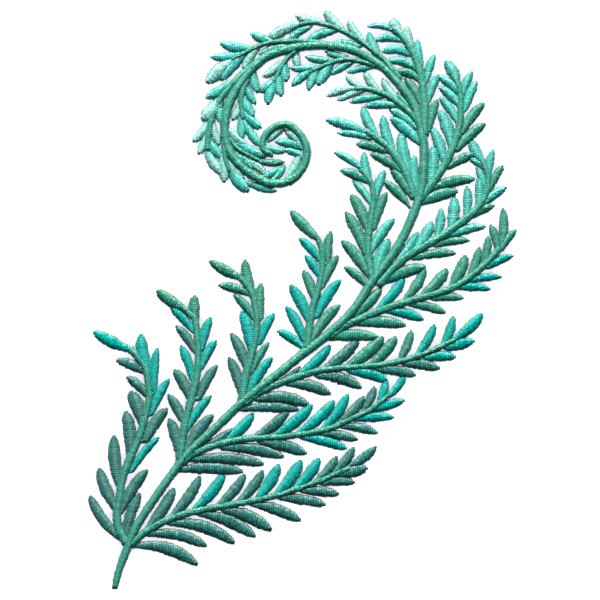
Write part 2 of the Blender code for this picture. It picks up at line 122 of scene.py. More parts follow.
def thread_look():
    """The group that gives a thread its uneven dye with painted shading, its painted rim light and shade,
    the painted shade at its sides, and its twisted surface. A Mix node's sockets for vectors are its inputs
    4 and 5 and its output 1."""
    group = bpy.data.node_groups.new("twisted_thread", "ShaderNodeTree")
    face = group.interface
    face.new_socket("Dye", in_out="INPUT", socket_type="NodeSocketColor")
    face.new_socket("Unevenness_and_shading", in_out="INPUT", socket_type="NodeSocketFloat")
    face.new_socket("Color", in_out="OUTPUT", socket_type="NodeSocketColor")
    face.new_socket("Normal", in_out="OUTPUT", socket_type="NodeSocketVector")
    nodes, links = group.nodes, group.links
    given = nodes.new("NodeGroupInput")
    result = nodes.new("NodeGroupOutput")
    # The dye's unevenness from stitch to stitch together with painted shading, set for each stitch.
    dye_and_painted_shading = nodes.new("ShaderNodeAttribute")
    dye_and_painted_shading.attribute_name = "dye_and_painted_shading"
    spread = nodes.new("ShaderNodeMath")
    spread.operation = "MULTIPLY"
    links.new(dye_and_painted_shading.outputs["Fac"], spread.inputs[0])
    links.new(given.outputs["Unevenness_and_shading"], spread.inputs[1])
    around_one = nodes.new("ShaderNodeMath")
    around_one.operation = "ADD"
    around_one.inputs[1].default_value = 1.0
    links.new(spread.outputs["Value"], around_one.inputs[0])
    # Painted rim light and shade towards the ends of each stitch.
    root = nodes.new("ShaderNodeAttribute")
    root.attribute_name = "painted_rim"
    dyed_and_shaded = nodes.new("ShaderNodeVectorMath")
    dyed_and_shaded.operation = "SCALE"
    links.new(given.outputs["Dye"], dyed_and_shaded.inputs[0])
    links.new(around_one.outputs["Value"], dyed_and_shaded.inputs["Scale"])
    rim = nodes.new("ShaderNodeMix")
    rim.data_type = "VECTOR"
    rim.inputs[5].default_value = PAINTED_RIM_COLOR
    links.new(root.outputs["Fac"], rim.inputs["Factor"])
    links.new(dyed_and_shaded.outputs["Vector"], rim.inputs[4])
    # Painted shade along the sides of each thread and a faint painted highlight along its middle, stronger
    # where a stitch runs in line with the lamp.
    lie = nodes.new("ShaderNodeUVMap")
    lie.uv_map = "thread"
    sides = nodes.new("ShaderNodeSeparateXYZ")
    links.new(lie.outputs["UV"], sides.inputs["Vector"])
    off_middle = nodes.new("ShaderNodeMath")
    off_middle.operation = "ABSOLUTE"
    links.new(sides.outputs["Y"], off_middle.inputs[0])
    painted_furrow_shade = nodes.new("ShaderNodeMapRange")
    painted_furrow_shade.interpolation_type = "SMOOTHSTEP"
    painted_furrow_shade.inputs["From Min"].default_value = 0.15
    painted_furrow_shade.inputs["From Max"].default_value = 0.62
    painted_furrow_shade.inputs["To Min"].default_value = 0.07
    painted_furrow_shade.inputs["To Max"].default_value = -0.30
    links.new(off_middle.outputs["Value"], painted_furrow_shade.inputs["Value"])
    painted_furrow_strength = nodes.new("ShaderNodeAttribute")
    painted_furrow_strength.attribute_name = "painted_furrow_shade"
    darkened = nodes.new("ShaderNodeMath")
    darkened.operation = "MULTIPLY_ADD"
    darkened.inputs[2].default_value = 1.0
    links.new(painted_furrow_shade.outputs["Result"], darkened.inputs[0])
    links.new(painted_furrow_strength.outputs["Fac"], darkened.inputs[1])
    furrowed = nodes.new("ShaderNodeVectorMath")
    furrowed.operation = "SCALE"
    links.new(rim.outputs[1], furrowed.inputs[0])
    links.new(darkened.outputs["Value"], furrowed.inputs["Scale"])
    links.new(furrowed.outputs["Vector"], result.inputs["Color"])
    along = nodes.new("ShaderNodeVectorMath")
    along.operation = "MULTIPLY"
    along.inputs[1].default_value = (1, 0, 0)
    links.new(lie.outputs["UV"], along.inputs[0])
    own = nodes.new("ShaderNodeVectorMath")
    own.operation = "MULTIPLY_ADD"
    own.inputs[1].default_value = (2, 3, 17)
    links.new(dye_and_painted_shading.outputs["Fac"], own.inputs[0])
    links.new(along.outputs["Vector"], own.inputs[2])
    ply = nodes.new("ShaderNodeTexNoise")
    ply.inputs["Scale"].default_value = 1.9
    ply.inputs["Detail"].default_value = 1
    links.new(own.outputs["Vector"], ply.inputs["Vector"])
    twist = nodes.new("ShaderNodeBump")
    twist.inputs["Strength"].default_value = 1.0
    twist.inputs["Distance"].default_value = 0.00018
    links.new(ply.outputs["Fac"], twist.inputs["Height"])
    links.new(twist.outputs["Normal"], result.inputs["Normal"])
    return group


twisted_thread = thread_look()


def thread_material(name, dye, shine):
    """The material of one thread, whose gloss is drawn out across it."""
    material = bpy.data.materials.new(name)
    material.use_nodes = True
    nodes, links = material.node_tree.nodes, material.node_tree.links
    shader = nodes["Principled BSDF"]
    look = nodes.new("ShaderNodeGroup")
    look.node_tree = twisted_thread
    look.inputs["Dye"].default_value = (*dye, 1)
    look.inputs["Unevenness_and_shading"].default_value = 0.10
    links.new(look.outputs["Color"], shader.inputs["Base Color"])
    links.new(look.outputs["Normal"], shader.inputs["Normal"])
    shader.inputs["Roughness"].default_value = 0.42
    shader.inputs["Specular IOR Level"].default_value = shine
    shader.inputs["Anisotropic"].default_value = 0.9
    shader.inputs["Anisotropic Rotation"].default_value = 0.25
    lie = nodes.new("ShaderNodeTangent")
    lie.direction_type = "UV_MAP"
    lie.uv_map = "thread"
    links.new(lie.outputs["Tangent"], shader.inputs["Tangent"])
    return material


THREADS = {
    "S": thread_material("sea_green_thread", (0.033, 0.275, 0.208), 0.28),
    "G": thread_material("grey_green_thread", (0.037, 0.204, 0.192), 0.26),
    "T": thread_material("turquoise_thread", (0.001, 0.392, 0.368), 0.17),
    "A": thread_material("aqua_thread", (0.050, 0.470, 0.420), 0.42),
    "M": thread_material("pale_mint_thread", (0.225, 0.58, 0.53), 0.42),
    "B": thread_material("white_bobbin_thread", (0.78, 0.78, 0.76), 0.30),
}
ORDER = "SGTAMB"            # the order of these materials on every piece


def one_stitch(long, broad):
    """The stitch that the others are copied from: the upper side of a thread laid flat, with so many
    faces along it, which is x, and across it, which is y. Copying bends it over its column."""
    bpy.ops.object.select_all(action="DESELECT")
    bpy.ops.mesh.primitive_grid_add(x_subdivisions=long, y_subdivisions=broad, size=2)
    strip = bpy.context.object
    points = np.array([vert.co[:] for vert in strip.data.vertices])
    faces = np.array([face.vertices[:] for face in strip.data.polygons])
    bpy.data.objects.remove(strip)
    return points, faces


needle_stitch = one_stitch(9, 3)
CLOTH_TOP = 0.00170         # the cloth's upper side
PITCH = 2.35                # picture pixels from one stitch to the next
THREAD_CROWN = 0.00007      # how much higher a thread is along its middle than at its sides
OVERLAP = 1.7               # a thread's width over the pitch, so that each lies partly on the next
ASLANT = 0.12               # how far each stitch goes on along its column, in pitches
LEAN = 0.3                  # how far the stitches lean off square to their column, in radians
UNEVEN_HEIGHT = 0.012       # how much stitches differ in height, as a share
UNEVEN_LENGTH = 0.05        # and in length
MISPLACED = 0.000012        # and in place, in metres
LEAFLET_FULLNESS = 1.22     # how much wider a leaflet is worked than its given width
STEM_FULLNESS = 1.36        # and a spray's stem
STEM_HEIGHT = 0.00052
STEM_LIFT = 0.00016         # how far a stem is raised by the leaflets' roots under it
NARROWEST, WIDEST = 6, 11   # pixels, for leaflets with no width of their own
USUAL_BOW = 5               # hundredths of its length by which a leaflet's middle is bent
FULLEST = 0.60              # share of a leaflet's length at which it is widest
AT_STEM = 9                 # a root nearer to the stem than these pixels starts under it
random = np.random.default_rng(24)
stitched_ground = []        # centre and half width of every stitch, for the cloth's pucker
worked_columns = []         # every column, for the bobbin side


def smooth(points):
    """Points a pixel apart along a smooth curve through the given ones."""
    line = []
    ends = [points[0]] + list(points) + [points[-1]]
    for i in range(1, len(ends) - 2):
        p, q, r, s = (np.array(end, float) for end in ends[i - 1:i + 3])
        pieces = max(1, round(math.dist(q, r)))
        for j in range(pieces):
            t = j / pieces
            line.append(0.5 * (2 * q + (r - p) * t + (2 * p - 5 * q + 4 * r - s) * t * t
                               + (3 * q - p - 3 * r + s) * t ** 3))
    line.append(np.array(points[-1], float))
    return np.array(line)


def column(line, width_at, height, thread, lighter=0, lift=0):
    """The stitches of one satin column, as arrays with a value for each. The line and its width are in
    pixels, and the height and the lift in metres."""
    steps = np.hypot(*np.diff(line, axis=0).T)
    run = np.concatenate([[0], np.cumsum(steps)])
    count = max(5, round(run[-1] / PITCH) + 1)
    share = np.linspace(0, 1, count)
    place = np.stack([np.interp(share * run[-1], run, line[:, k]) for k in (0, 1)], axis=1)
    course = np.gradient(place, axis=0)
    course /= np.hypot(course[:, 0], course[:, 1])[:, None]
    half = np.array([width_at(s) for s in share]) / 2 * PIXEL
    to_end = np.minimum(share, 1 - share) * run[-1] * PIXEL / (0.55 * half.max())
    height = height * (half / half.max()) ** 0.4 * np.sqrt(1 - 0.70 * (1 - to_end.clip(0, 1)) ** 2)
    place = (place - PICTURE_CENTRE) * (PIXEL, -PIXEL)
    course = course * (1, -1)
    square = np.arctan2(-course[:, 0], course[:, 1])
    lean = LEAN * np.sin(4 * square)
    across = np.column_stack([np.cos(square - lean), np.sin(square - lean)])
    upright = across[:, 1] ** 2         # 1 where a stitch runs up the picture, in line with the light
    height *= 1 + random.normal(0, UNEVEN_HEIGHT, count) * (1 + 1.0 * upright)
    half *= 1 + random.normal(0, UNEVEN_LENGTH, count)
    stitched_ground.append(np.column_stack([place, half]))
    half = half / np.cos(lean)
    place = place + random.normal(0, MISPLACED, place.shape)
    # Besides the dye's own unevenness, this is painted shading: stitches that run up the picture, in line
    # with the lamp, are painted darker and more uneven, and stems are painted lighter by the given amount.
    dyed_and_shaded = random.normal(0, 0.9, count).clip(-2, 2) * (1 + 0.5 * upright)
    made_of = np.full(count, ORDER.index(thread))
    return {"place": place, "across": across, "half": half, "height": height,
            "lift": np.full(count, lift), "dye_and_painted_shading": dyed_and_shaded - 0.6 * upright + lighter,
            "painted_furrow_shade": 0.38 + 1.3 * upright, "thread": made_of, "middle": made_of}


def leaflet_column(leaflet, line, fullness=LEAFLET_FULLNESS):
    """A leaflet's column, from its root on the stem with this line to its tip."""
    root, tip = np.array(leaflet[0:2], float), np.array(leaflet[2:4], float)
    length = math.dist(root, tip)
    width = leaflet[5] if len(leaflet) > 5 else min(WIDEST, max(NARROWEST, 0.12 * length + 4.5))
    width = width * fullness
    bow = (leaflet[6] if len(leaflet) > 6 else USUAL_BOW) / 50 * length
    near = int(np.argmin(np.hypot(*(line - root).T)))
    ahead = line[min(near + 2, len(line) - 1)] - line[max(near - 2, 0)]
    side = np.array([root[1] - tip[1], tip[0] - root[0]]) / length
    if side @ ahead < 0:
        side = -side
    middle = (root + tip) / 2 + side * bow
    t = np.linspace(0, 1, 24)[:, None]
    path = (1 - t) ** 2 * root + 2 * t * (1 - t) * middle + t ** 2 * tip
    if math.dist(line[near], root) < AT_STEM:
        path = np.concatenate([line[max(near - 5, 0)][None], path])

    def swell(share):
        if share < FULLEST:
            return width * (0.30 + 0.70 * math.sin(share / FULLEST * math.pi / 2) ** 1.1)
        return width * math.sqrt(1 - 0.88 * ((share - FULLEST) / (1 - FULLEST)) ** 2.5)

    return column(path, swell, 0.00029 + 0.000025 * width, leaflet[4])


def stitch_mesh(name, columns, stitch=needle_stitch, level=CLOTH_TOP, upward=1):
    """One mesh with a bent copy of the stitch for every stitch of the columns, over or under that
    level. Each goes from just under it, over its column, to just under it on the other side."""
    stitch_points, stitch_faces = stitch
    every = {key: np.concatenate([one[key] for one in columns]) for key in columns[0]}
    count = len(every["half"])
    turn = math.pi * (1.08 - (stitch_points[:, 0] + 1) / 2 * 1.16)
    breadth = PITCH * PIXEL * 0.5 * OVERLAP
    half, height = every["half"][:, None], every["height"][:, None]
    reach_x, reach_z = half * np.cos(turn), height * np.sin(turn)
    lean_x, lean_z = height * np.cos(turn), half * np.sin(turn)
    size = np.hypot(lean_x, lean_z)
    lean_x, lean_z = lean_x / size, lean_z / size
    out = -THREAD_CROWN * stitch_points[:, 1] ** 2
    sway = breadth * stitch_points[:, 1] + ASLANT * PITCH * PIXEL * stitch_points[:, 0]
    across = every["across"]
    course = np.column_stack([-across[:, 1], across[:, 0]])
    flat = (every["place"][:, None] + across[:, None] * (reach_x + out * lean_x)[:, :, None]
            + course[:, None] * np.broadcast_to(sway, reach_x.shape)[:, :, None])
    up = level + upward * (every["lift"][:, None] + reach_z + out * lean_z)
    points = np.concatenate([flat, up[:, :, None]], axis=2).reshape(-1, 3)
    corners_of_one = stitch_faces[:, ::upward]          # the other way round where the faces look down
    faces = (corners_of_one[None] + (np.arange(count) * len(stitch_points))[:, None, None]).reshape(-1, 4)
    inner = np.abs(stitch_points[stitch_faces, 0].mean(axis=1)) < 0.4
    threads = np.where(inner[None], every["middle"][:, None], every["thread"][:, None])
    mesh = bpy.data.meshes.new(name)
    mesh.from_pydata(points.tolist(), [], faces.tolist())
    for letter in ORDER:
        mesh.materials.append(THREADS[letter])
    mesh.polygons.foreach_set("material_index", threads.reshape(-1).astype(np.int32))
    mesh.polygons.foreach_set("use_smooth", np.ones(len(faces), dtype=bool))
    dye_and_painted_shading = mesh.attributes.new("dye_and_painted_shading", "FLOAT", "POINT")
    dye_and_painted_shading.data.foreach_set("value", np.repeat(every["dye_and_painted_shading"], len(stitch_points)))
    # How strong the painted shade along each thread's sides and the painted highlight along its middle are.
    painted_furrow_shade = mesh.attributes.new("painted_furrow_shade", "FLOAT", "POINT")
    painted_furrow_shade.data.foreach_set("value", np.repeat(every["painted_furrow_shade"], len(stitch_points)))
    # Where the painted rim light and shade is laid on: towards both ends of each stitch, where it bends
    # into the cloth.
    painted_rim = mesh.attributes.new("painted_rim", "FLOAT", "POINT")
    painted_rim_share = 0.9 * np.clip((np.abs(stitch_points[:, 0]) - 0.40) / 0.40, 0, 1)
    painted_rim.data.foreach_set("value", np.tile(painted_rim_share, count))
    corners = faces.reshape(-1)
    local = corners % len(stitch_points)
    wound = mesh.uv_layers.new(name="thread")
    lie = np.column_stack([stitch_points[local, 0] * 1.5, stitch_points[local, 1]])
    wound.data.foreach_set("uv", lie.reshape(-1))
    mesh.update()
    return mesh


def worked(name, node, columns):
    """The finished piece, which stands for that node of the frame."""
    piece = bpy.data.objects.new(name, stitch_mesh(name, columns))
    bpy.context.scene.collection.objects.link(piece)
    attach(piece, "root")
    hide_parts(node)
    thread_pieces.objects.link(piece)
    worked_columns.extend(columns)


def spray_columns(spray, fullness=LEAFLET_FULLNESS):
    """The columns of a spray: its leaflets first, then the stem over their roots."""
    line = smooth(spray["stem"])
    start, end = spray["width"]
    columns = [leaflet_column(leaflet, line, fullness) for leaflet in spray["leaflets"]]
    # The stem is painted lighter than the leaflets of the same thread.
    columns.append(column(line, lambda share: STEM_FULLNESS * (start + (end - start) * share),
                          STEM_HEIGHT, "S", lighter=1.1, lift=STEM_LIFT))
    return columns


# Main stem and the curled tip
# The stalk and its curl are one thick column of sea green satin stitch, worked last, over the feet of
# the sprays. A leaflet is root x, y, tip x, y and thread, and where given its width and bow.
MAIN_STEM_FULLNESS = 1.25
MAIN_STEM_HEIGHT = 0.00060
MAIN_STEM_LIFT = 0.00022
ARCH_FULLNESS = 1.35        # how much wider the leaflets of the small sprays round the curl are worked
main_stem = {
    "width": [(0, 5), (0.03, 6.8), (0.3, 7.5), (0.62, 7.2), (0.78, 7.8), (0.88, 7), (1, 5.5)],
    "stem": [
        (115, 587), (116.5, 580), (119, 570), (126.5, 550), (134.5, 530), (146, 511.5), (159, 492),
        (173.5, 472), (190, 451.5), (206.5, 436.5), (221.5, 422.5), (241, 403.5), (260, 388), (280, 372.5),
        (299.5, 356.5), (319.5, 341.5), (339.5, 324.5), (349.5, 314.5), (359.5, 301.5), (370, 285),
        (380.5, 271), (391.5, 256), (401.5, 240), (411.5, 219), (418.5, 200), (423, 180), (424, 150),
        (423, 140), (420, 125), (416, 110), (410, 98.7), (403.7, 90.2), (396.6, 81.4), (382.8, 67.6),
        (367.2, 57.3), (350, 49), (330, 46), (310, 45.5), (290, 49), (270, 55),
        (255, 66), (243, 80), (233, 95), (226, 114), (225, 135), (231, 154), (245, 170), (265, 182),
        (275, 183.5), (285, 182.5), (294.7, 177.7), (301.7, 169.5), (305.8, 160), (306.8, 150),
        (303.7, 140.7), (298.5, 132.5), (291.3, 126.3), (283, 124.5), (275, 127), (268, 132),
        (264, 138), (262.5, 145), (265, 151), (271, 154)],
    "leaflets": [
        (252, 67, 257, 91, "A", 8), (262, 178, 278, 169, "A"), (273, 180, 284, 166, "A"),
        (287, 178, 299, 156, "M"), (302, 156, 285, 150, "A"), (303, 148, 277, 142, "A"),
        (302, 147, 286, 131, "M"), (282, 129, 269, 141, "M"), (265, 147, 284, 151, "A")],
}
# Small sprays that arch round the curl and cross it.
arches = [
    {"width": (5, 3.4),
     "stem": [
         (400, 79), (385, 61), (370, 48), (354, 37), (335, 27.5), (315, 22.5), (299, 24.5)],
     "leaflets": [
         (380, 58, 369, 34, "A"), (363, 41, 349, 22, "M", 7), (341, 28, 326, 12, "M", 8),
         (319, 22, 297, 16, "M", 7), (299, 24, 270, 38, "M", 9), (358, 46, 333, 43, "A", 6),
         (334, 31, 309, 39, "A", 7), (309, 27, 290, 39, "A", 6)]},
    {"width": (4.6, 3.2),
     "stem": [
         (330, 45), (310, 41.5), (290, 41), (270, 42.5), (254, 48), (231, 60)],
     "leaflets": [
         (272, 41, 252, 34, "A", 7), (250, 48, 222, 44, "A", 8), (241, 54, 212, 57, "A", 7),
         (234, 61, 208, 82, "M", 11), (286, 46, 260, 54, "A", 6), (256, 50, 244, 68, "M"),
         (241, 58, 222, 79, "A", 9)]},
    {"width": (5, 5.8),
     "stem": [
         (256, 63), (242, 74), (229, 88), (218, 103), (211, 121), (207.5, 141), (208, 150)],
     "leaflets": [
         (231, 82, 207, 97, "A"), (219, 101, 203, 119, "M", 12), (209, 121, 194, 141, "M", 7),
         (207, 135, 199, 153, "M", 7), (207, 151, 221, 173, "M"), (219, 103, 221, 122, "A"),
         (212, 120, 219, 144, "M", 6), (209, 141, 221, 157, "A", 8)]},
    {"width": (4.6, 4),
     "stem": [
         (224, 140), (225, 158), (230, 171)],
     "leaflets": [
         (232, 171, 247.5, 190.5, "A", 10), (222, 158, 224, 181, "M", 8), (229, 163, 243, 178, "M"),
         (241, 179, 275, 191, "A", 6)]},
    {"width": (4.2, 3),
     "stem": [
         (229, 138), (238, 149), (258, 160)],
     "leaflets": [
         (230, 131, 246, 145, "M"), (240, 145, 266, 155.5, "A", 8), (258, 161, 283, 162, "S", 6),
         (237, 156, 253, 168, "A"), (250, 162, 265, 174, "M")]},
    {"width": (6.4, 4),
     "stem": [
         (247, 78), (242, 92), (241, 106), (243, 119)],
     "leaflets": [
         (246, 85, 255, 103, "A", 6), (244, 100, 253, 116, "A", 8), (244, 113, 260, 127, "A", 8),
         (243, 119, 260, 145, "A", 7), (241, 118, 240, 140, "A", 7), (240, 103, 233, 119, "M")]},
    {"width": (4.6, 3),
     "stem": [
         (298, 49), (286, 60), (274, 82)],
     "leaflets": [
         (280, 64, 264, 76, "M"), (275, 79, 260, 91, "A"), (273, 84, 268, 103, "A", 8),
         (296, 53, 298, 66, "M"), (284, 64, 286, 80, "A", 8), (278, 76, 281, 95, "A", 8)]},
    {"width": (4.6, 3),
     "stem": [
         (376, 66), (360, 61), (344, 59.5), (328, 64), (312, 71)],
     "leaflets": [
         (346, 57, 327, 52, "A", 6), (328, 60, 307, 57, "A", 6), (315, 67, 291, 68, "A", 6),
         (311, 71, 293, 85, "A", 7), (373, 67, 349, 72, "A", 6), (351, 63, 332, 74, "A", 6),
         (330, 66, 319, 84, "A", 9), (318, 69, 309, 89, "A", 7)]},
]
main_line = smooth(main_stem["stem"])
curl_columns = []
for arch in arches:
    curl_columns += spray_columns(arch, ARCH_FULLNESS)
for leaflet in main_stem["leaflets"]:
    curl_columns.append(leaflet_column(leaflet, main_line))
shares, widths = zip(*main_stem["width"])
# The main stem is painted lighter than the leaflets of the same thread.
curl_columns.append(column(main_line, lambda share: MAIN_STEM_FULLNESS * np.interp(share, shares, widths),
                           MAIN_STEM_HEIGHT, "S", lighter=0.8, lift=MAIN_STEM_LIFT))
worked("stitched_main_stem", "main_stem", curl_columns)


# Spray left 1
# The lowest spray on the left, long and nearly upright, grey green below and turquoise at its tip.
spray_left_1 = {
    "width": (6.6, 5.4),
    "stem": [
        (126, 543), (119, 530), (117, 520), (117, 510), (119, 500), (122, 480), (129, 460), (138, 440),
        (144, 420), (149, 400), (149, 390), (146, 370), (138, 358), (131, 350)],
    "leaflets": [
        (123, 541, 90.5, 497.5, "G", 9, -6.5), (118, 512, 99.5, 470, "G", 10, -5),
        (120, 488, 114, 437.5, "G", 11, -4), (129.5, 458, 126, 413, "G", 11), (142, 424, 131, 393, "G", 12),
        (147, 395, 128, 378, "G", 9), (143, 371, 118, 361, "G", 9), (131, 350, 95, 333, "T", 10, -2.5),
        (126, 534, 139, 495, "G"),
        (121, 512, 146, 471, "G", 10), (132, 470.5, 157.5, 438.5, "T", 7.2),
        (146, 440, 166, 409.5, "G", 10),
        (152, 413, 168, 380.5, "T", 8), (155, 392, 157, 350, "T", 8), (148, 370, 141, 336, "T", 10.4)],
}
worked("stitched_left_1", "spray_left_1", spray_columns(spray_left_1))

# Spray left 2
# The second spray on the left, grey green at its foot and turquoise above.
spray_left_2 = {
    "width": (6.8, 5),
    "stem": [
        (180, 460), (182, 440), (186, 420), (191, 400), (196, 380), (198, 360), (197.5, 340), (195, 320),
        (191, 315), (183, 308)],
    "leaflets": [
        (178.5, 453, 169.5, 420, "G", 10), (181.5, 419, 169, 396, "G", 9), (189, 396, 175, 371, "G", 10),
        (192, 379, 181, 347, "T", 8), (194, 350, 177, 327, "G", 8), (192, 330, 172, 309, "T", 8),
        (183, 308, 158, 292, "S", 10, -2.5), (187, 449, 212, 416, "G", 10), (186, 432, 210, 397, "T", 8),
        (199, 398, 216, 366.5, "G"), (201, 368, 215, 342, "T"), (202, 348, 210, 319, "T"),
        (196, 322, 194.5, 297, "S", 9)],
}
worked("stitched_left_2", "spray_left_2", spray_columns(spray_left_2))

# Spray left 3
# The third spray on the left, where turquoise and sea green leaflets alternate.
spray_left_3 = {
    "width": (7, 4.6),
    "stem": [
        (242, 400), (245, 380), (250, 360), (255, 340), (257, 320), (254, 300), (250, 290), (245, 283),
        (240, 278)],
    "leaflets": [
        (241.5, 396, 229.5, 359, "G"), (247, 370, 232, 335, "G"), (251.5, 352, 242.5, 313, "T", 11),
        (254, 318, 235, 296, "S"), (250, 294.5, 220, 285.5, "S", 8), (239, 277, 211, 262, "S", 9, -2.5),
        (249, 392.5, 271, 359, "T"), (252, 372, 268, 344, "S", 7), (260, 342, 273, 315, "T"),
        (261, 318, 261, 285, "S"), (254, 297, 245, 261.5, "S")],
}
worked("stitched_left_3", "spray_left_3", spray_columns(spray_left_3))

# Spray left 4
# The fourth spray on the left, short, turquoise and sea green.
spray_left_4 = {
    "width": (7, 4),
    "stem": [
        (307, 348), (309, 330), (312, 310), (318, 290), (322, 270), (322, 250), (318, 240)],
    "leaflets": [
        (304, 348.7, 279, 331.7, "T"), (303, 338.5, 287, 308, "T"), (307, 318, 291, 286.5, "T", 10),
        (314, 300, 304, 272, "S"), (320, 277, 306, 257, "T"), (319.5, 259.7, 300.5, 239.7, "T", 8),
        (318, 239, 292, 212, "S", 10, -2.5), (312.5, 339.5, 338.5, 306, "S"),
        (317.3, 315.5, 339.3, 281, "T"),
        (322, 287, 337, 257, "S"), (328.3, 262, 330.3, 233, "S")],
}
worked("stitched_left_4", "spray_left_4", spray_columns(spray_left_4))

# Spray left 5
# The fifth spray on the left, sea green with the first aqua leaflets.
spray_left_5 = {
    "width": (7, 4),
    "stem": [
        (373, 280), (369, 260), (368, 240), (371, 220), (373.5, 200), (373, 190), (371, 183), (361, 169)],
    "leaflets": [
        (367.5, 286, 345.5, 268, "S"), (370, 278, 343, 242, "S", 10), (364.7, 252.5, 346.7, 213.5, "S"),
        (367, 228.3, 352, 196.3, "S", 10), (370, 202, 354, 182, "A", 7), (369, 182, 342, 171, "S"),
        (362, 169, 336, 153, "A", 7), (375.3, 275, 388.3, 240.5, "A", 10), (371, 252, 393, 220, "A"),
        (374, 228, 386, 194, "S"), (376, 198, 384, 172, "A"), (370, 182, 364, 154, "A", 8)],
}
worked("stitched_left_5", "spray_left_5", spray_columns(spray_left_5))

# Spray left 6
# The sixth spray on the left, a short one that leans out over the fifth.
spray_left_6 = {
    "width": (7.6, 5),
    "stem": [
        (415, 198), (408, 177), (397, 158), (383, 143), (366, 131)],
    "leaflets": [
        (409.5, 207, 385.5, 182.5, "S"), (412, 198, 392, 170, "S"), (401, 171.6, 372, 154.6, "S"),
        (386, 151, 358, 144.5, "S", 8.5), (370, 138, 339, 133, "A", 7), (363, 131, 328, 120.5, "A", 9, 3),
        (417, 190, 414, 157, "A"), (409, 170, 401.3, 133.5, "A", 10), (393, 150, 383, 117, "A"),
        (376, 135, 363, 108, "A")],
}
worked("stitched_left_6", "spray_left_6", spray_columns(spray_left_6))

# Spray left 7
# The seventh spray on the left, aqua and pale mint, under the curl.
spray_left_7 = {
    "width": (6, 4),
    "stem": [
        (420, 125), (414, 117), (400, 104), (384, 94), (368, 89), (354, 89)],
    "leaflets": [
        (420, 144, 392, 119, "A", 11), (416, 128, 391, 110, "A", 9), (397, 105.5, 367, 106, "A", 8),
        (381, 97, 352, 102, "A", 7), (363, 91, 339, 100, "M", 6), (355, 88, 328, 95.3, "M", 7),
        (410, 107, 398, 94, "A", 6), (396, 98, 383, 80, "M"), (379, 91, 365, 73, "M", 7),
        (362, 88, 347, 77, "M", 6)],
}
worked("stitched_left_7", "spray_left_7", spray_columns(spray_left_7))

# Spray top 1
# The spray that goes straight on where the main stem bends over, sea green to pale mint.
spray_top_1 = {
    "width": (7.5, 5),
    "stem": [
        (424, 135), (425, 115), (424, 95), (421, 75), (414, 55), (403, 38), (392, 28)],
    "leaflets": [
        (420, 102, 406, 79, "S", 8), (418, 79, 396, 73, "S", 8, 16), (415, 68, 389, 61, "A", 8, 12),
        (408, 54, 384, 51.5, "A", 8, 15), (399, 40, 376, 40, "A", 7, 11),
        (393, 30.5, 369, 26.3, "A", 6, 11),
        (429, 130, 437, 101, "S"), (428, 101, 438, 76, "A"), (427, 80, 434, 56, "A"),
        (421, 65, 418, 41, "A", 7), (412, 49, 407, 27, "M"), (400, 34.5, 393, 19.5, "M", 9)],
}
worked("stitched_top_1", "spray_top_1", spray_columns(spray_top_1))

# Spray right 1
# The lowest and longest spray on the right, with long drooping leaflets on its lower side.
spray_right_1 = {
    "width": (6, 4),
    "stem": [
        (131, 545), (143, 534), (160, 523.5), (180, 515.5), (200, 510.5), (230, 505), (260, 499.5),
        (280, 494.5), (300, 488), (320, 481), (340, 472), (350, 468)],
    "leaflets": [
        (145.5, 531, 173, 489.5, "G", 10), (169.5, 519, 199, 478, "G", 10), (193, 511, 223, 475, "T", 10),
        (218, 506, 244, 476, "G"), (239, 502, 262, 472, "G"), (257, 499, 278, 466, "T", 10),
        (277, 494, 300, 462, "T", 11), (296, 488, 318, 460, "T", 10), (317, 481, 336, 458, "G"),
        (334, 473, 353, 449, "G"), (350, 466, 375, 448, "G", 8), (135, 546, 196, 564, "G", 11, 10),
        (148, 534.5, 205, 545.5, "G", 10, 8.5), (170, 523.5, 233, 542.5, "G", 11, 9.5),
        (200, 514, 254, 536, "G", 11, 7), (225, 510.5, 270, 529.5, "G", 11, 7),
        (253, 504.5, 299, 520, "G", 10, 5), (280, 498, 324, 504.5, "G", 9, 3),
        (303, 491, 337, 494, "G", 9, 3), (322, 483.3, 353, 482.5, "G", 8),
        (340, 474.5, 366, 468.5, "G", 10, -1)],
}
worked("stitched_right_1", "spray_right_1", spray_columns(spray_right_1))

# Spray right 2
# The second spray on the right, grey green and turquoise.
spray_right_2 = {
    "width": (6, 4),
    "stem": [
        (183, 463), (192, 455), (210, 447), (230, 441.5), (250, 438.5), (280, 437), (310, 433),
        (330, 428.5), (350, 419.5), (370, 410), (388, 396)],
    "leaflets": [
        (203, 447, 231, 430, "G", 7), (226, 441, 252, 415, "T", 10), (255, 437, 287, 412, "G"),
        (274, 436, 311, 406, "T"), (300, 432, 333, 402, "T"), (324, 428, 347, 396, "T"),
        (340, 422, 363, 398, "G"), (364, 410, 374, 388, "G"), (379, 402, 386, 381, "T"),
        (389, 396, 404, 377, "T"), (178, 470, 241, 471.5, "G", 10, 4),
        (187, 460.5, 262, 464, "G", 10, 5), (222, 448, 282, 456.5, "G", 10, 5),
        (260, 442, 305, 453, "G", 10, 4), (302, 437.5, 345, 448, "T", 9, 4),
        (320, 433.5, 356, 439.5, "G", 8, 4),
        (342, 426.5, 376, 432.5, "G", 8, 5), (357, 419.5, 392, 417.5, "T", 8, 4),
        (374, 409.5, 403, 400.5, "T", 8, 0)],
}
worked("stitched_right_2", "spray_right_2", spray_columns(spray_right_2))

